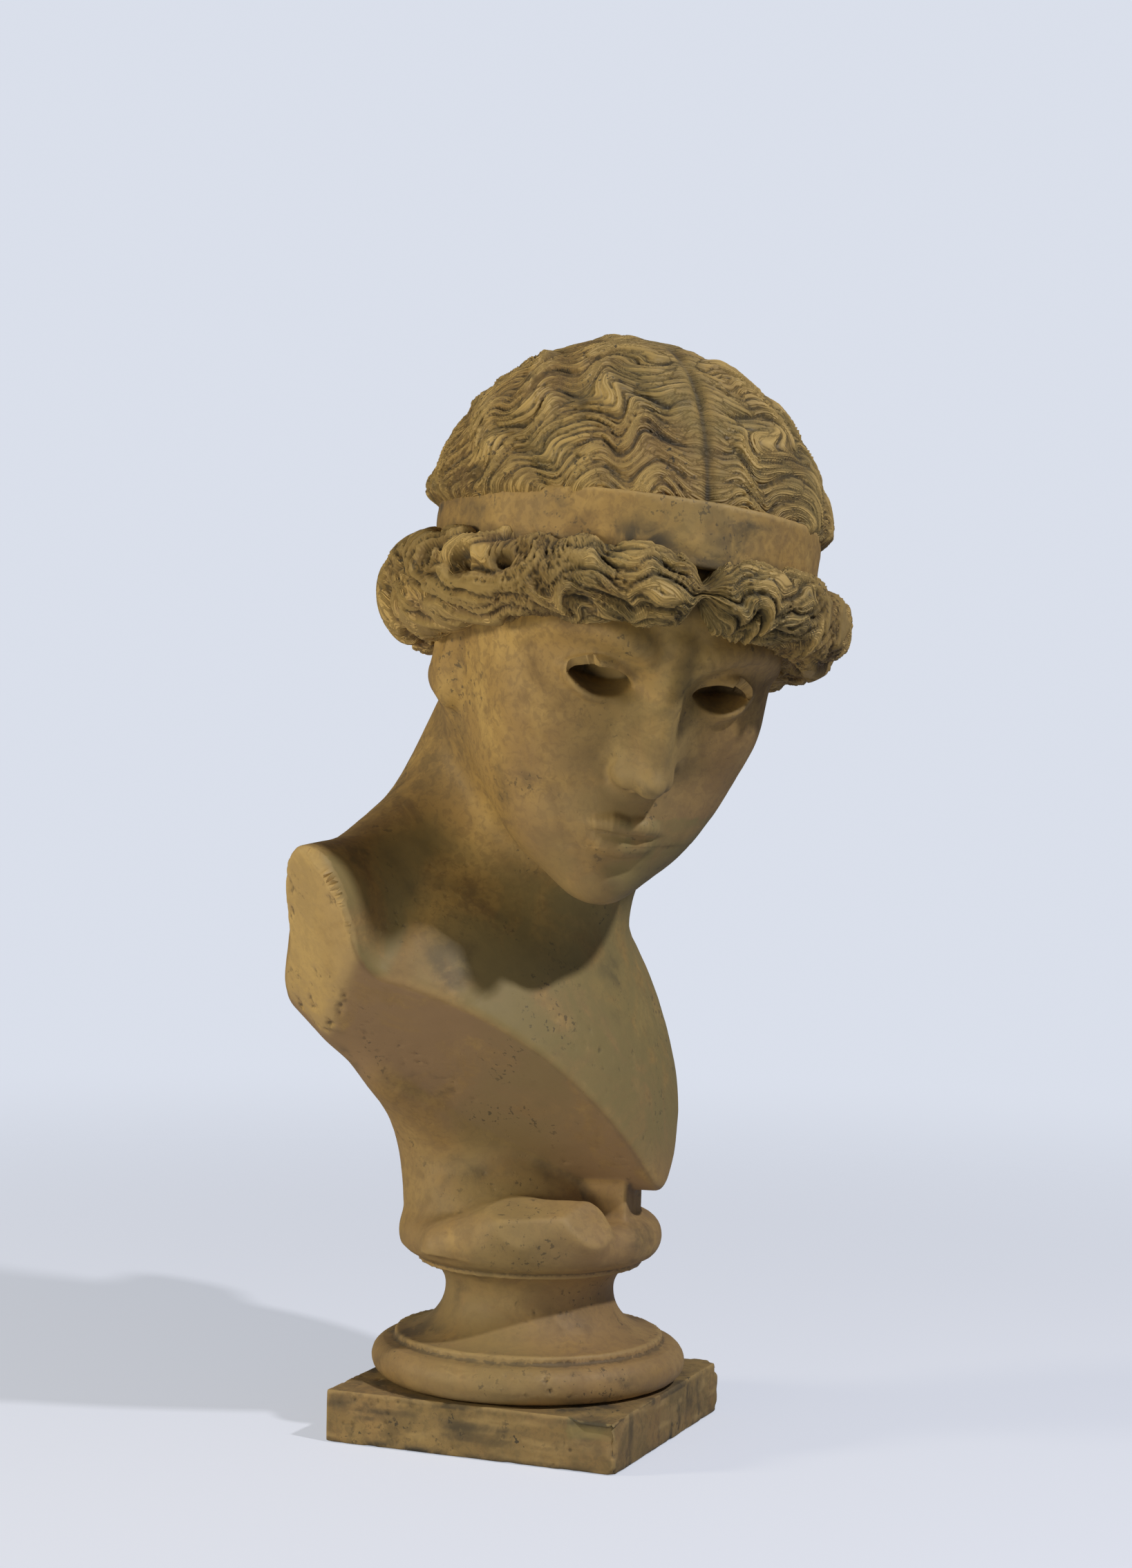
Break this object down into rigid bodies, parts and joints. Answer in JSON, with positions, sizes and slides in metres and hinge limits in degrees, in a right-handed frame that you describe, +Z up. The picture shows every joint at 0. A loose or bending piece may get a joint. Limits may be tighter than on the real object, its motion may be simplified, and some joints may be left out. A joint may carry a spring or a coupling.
{
  "type": "portrait bust on plinth",
  "caption": "Bowed classical female head with a hair band and cut-down chest, in patinated plaster on a turned foot and a square plinth.",
  "frame": {"origin": "centre of the plinth's underside", "axes": "+Z up, the chest faces -Y, the figure's right shoulder is at -X"},
  "size_m": [0.3704, 0.3587, 0.6438],
  "materials": {
    "bust_plaster": "matt plaster with an ochre and olive patina",
    "plinth_plaster": "matt plaster, brown and stained"
  },
  "bodies": {
    "root": {"bust": "bust_plaster", "plinth": "plinth_plaster"}
  },
  "joints": []
}
